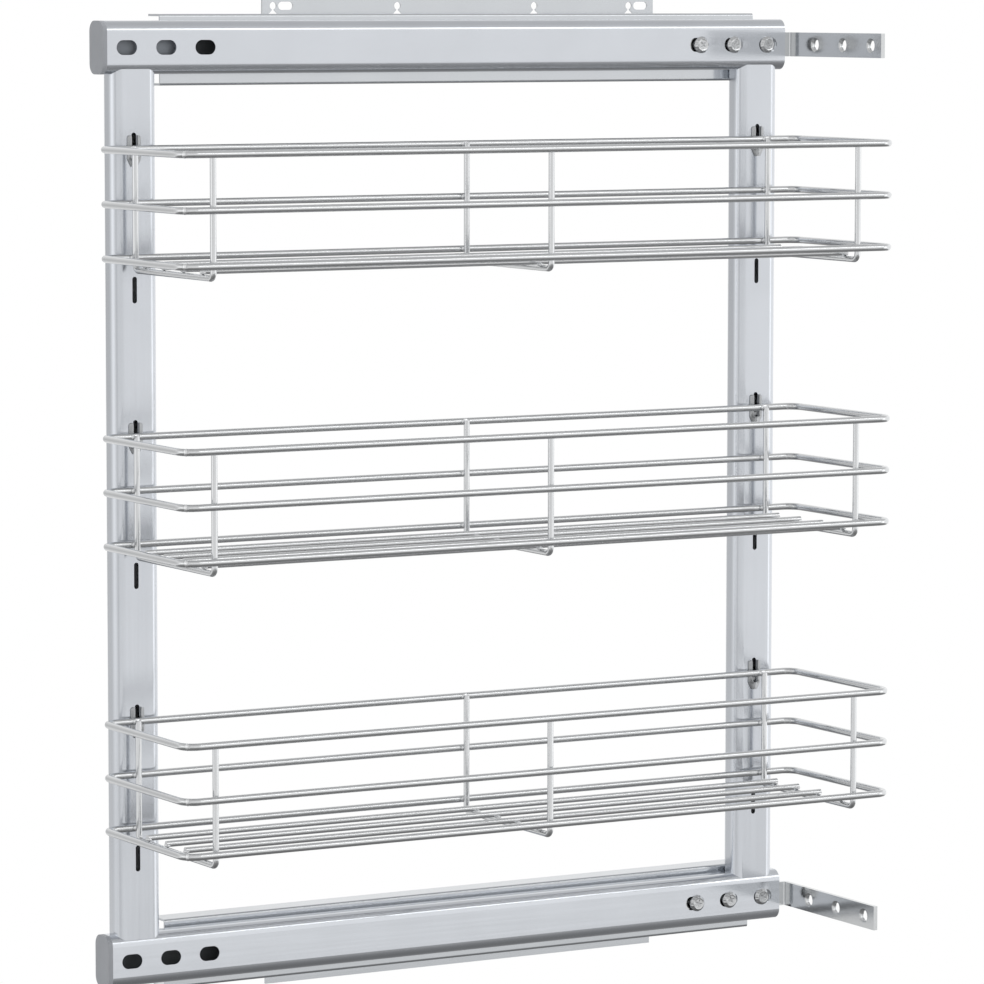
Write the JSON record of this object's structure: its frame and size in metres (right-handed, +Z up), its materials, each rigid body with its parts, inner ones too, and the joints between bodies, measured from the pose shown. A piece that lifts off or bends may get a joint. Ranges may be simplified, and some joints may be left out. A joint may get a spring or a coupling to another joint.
{
  "type": "pull-out wire basket",
  "caption": "Side-mounted pull-out cabinet frame on two telescopic slides, with hook-on wire baskets and door brackets.",
  "frame": {"origin": "midway between the bottom plate's outer screw holes, on the plate's back face", "axes": "+X along the travel towards the door, +Y into the cabinet side, +Z up"},
  "size_m": [0.5291, 0.1629, 0.6513],
  "materials": {
    "frame_steel": "smooth silver grey, semi-gloss",
    "slide_steel": "bright zinc plate, satin",
    "plate_steel": "bright zinc plate, satin",
    "bracket_steel": "smooth silver grey, semi-gloss",
    "bolt_steel": "zinc plate",
    "chrome_wire": "polished chrome plate",
    "clip_steel": "chrome plate over stamped sheet",
    "ball_steel": "hardened and polished",
    "grey_plastic": "moulded, fine texture",
    "black_rubber": "moulded"
  },
  "bodies": {
    "cabinet_side": {"bottom_cabinet_plate": "plate_steel", "top_cabinet_plate": "plate_steel", "bottom_cabinet_channel": "slide_steel", "top_cabinet_channel": "slide_steel", "plate_rivets": "slide_steel", "closing_bumpers": "black_rubber"},
    "middle_slides": {"bottom_middle_member": "slide_steel", "top_middle_member": "slide_steel"},
    "cabinet_side_cages": {"bottom_cabinet_side_cage": "slide_steel", "top_cabinet_side_cage": "slide_steel", "bottom_cabinet_side_balls": "ball_steel", "top_cabinet_side_balls": "ball_steel"},
    "frame_side_cages": {"bottom_frame_side_cage": "slide_steel", "top_frame_side_cage": "slide_steel", "bottom_frame_side_balls": "ball_steel", "top_frame_side_balls": "ball_steel"},
    "frame": {"bottom_frame_channel": "slide_steel", "top_frame_channel": "slide_steel", "channel_rivets": "slide_steel", "opening_bumpers": "black_rubber", "bottom_rail": "frame_steel", "top_rail": "frame_steel", "rear_post": "frame_steel", "front_post": "frame_steel", "bottom_end_cap": "grey_plastic", "top_end_cap": "grey_plastic", "bottom_door_bracket": "bracket_steel", "top_door_bracket": "bracket_steel", "bracket_bolts": "bolt_steel"},
    "top_basket": {"top_basket_rings": "chrome_wire", "top_basket_cross_wires": "chrome_wire", "top_basket_floor_wires": "chrome_wire", "top_basket_hook_clips": "clip_steel"},
    "middle_basket": {"middle_basket_rings": "chrome_wire", "middle_basket_cross_wires": "chrome_wire", "middle_basket_floor_wires": "chrome_wire", "middle_basket_hook_clips": "clip_steel"},
    "bottom_basket": {"bottom_basket_rings": "chrome_wire", "bottom_basket_cross_wires": "chrome_wire", "bottom_basket_floor_wires": "chrome_wire", "bottom_basket_hook_clips": "clip_steel"}
  },
  "joints": [
    {"name": "pull_out", "type": "slide", "parent": "cabinet_side", "child": "frame", "axis": [1, 0, 0], "range_m": [0, 0.45]},
    {"name": "middle_slides_travel", "type": "slide", "parent": "cabinet_side", "child": "middle_slides", "axis": [1, 0, 0], "range_m": [0, 0.225]},
    {"name": "cabinet_side_cages_travel", "type": "slide", "parent": "cabinet_side", "child": "cabinet_side_cages", "axis": [1, 0, 0], "range_m": [0, 0.1125]},
    {"name": "frame_side_cages_travel", "type": "slide", "parent": "cabinet_side", "child": "frame_side_cages", "axis": [1, 0, 0], "range_m": [0, 0.3375]},
    {"name": "top_basket_lift", "type": "slide", "parent": "frame", "child": "top_basket", "axis": [0, 0, 1], "range_m": [0, 0.0083]},
    {"name": "middle_basket_lift", "type": "slide", "parent": "frame", "child": "middle_basket", "axis": [0, 0, 1], "range_m": [0, 0.0083]},
    {"name": "bottom_basket_lift", "type": "slide", "parent": "frame", "child": "bottom_basket", "axis": [0, 0, 1], "range_m": [0, 0.0083]}
  ],
  "couplings": [
    {"joint": "middle_slides_travel", "follows": "pull_out", "ratio": 0.5},
    {"joint": "cabinet_side_cages_travel", "follows": "pull_out", "ratio": 0.25},
    {"joint": "frame_side_cages_travel", "follows": "pull_out", "ratio": 0.75}
  ]
}
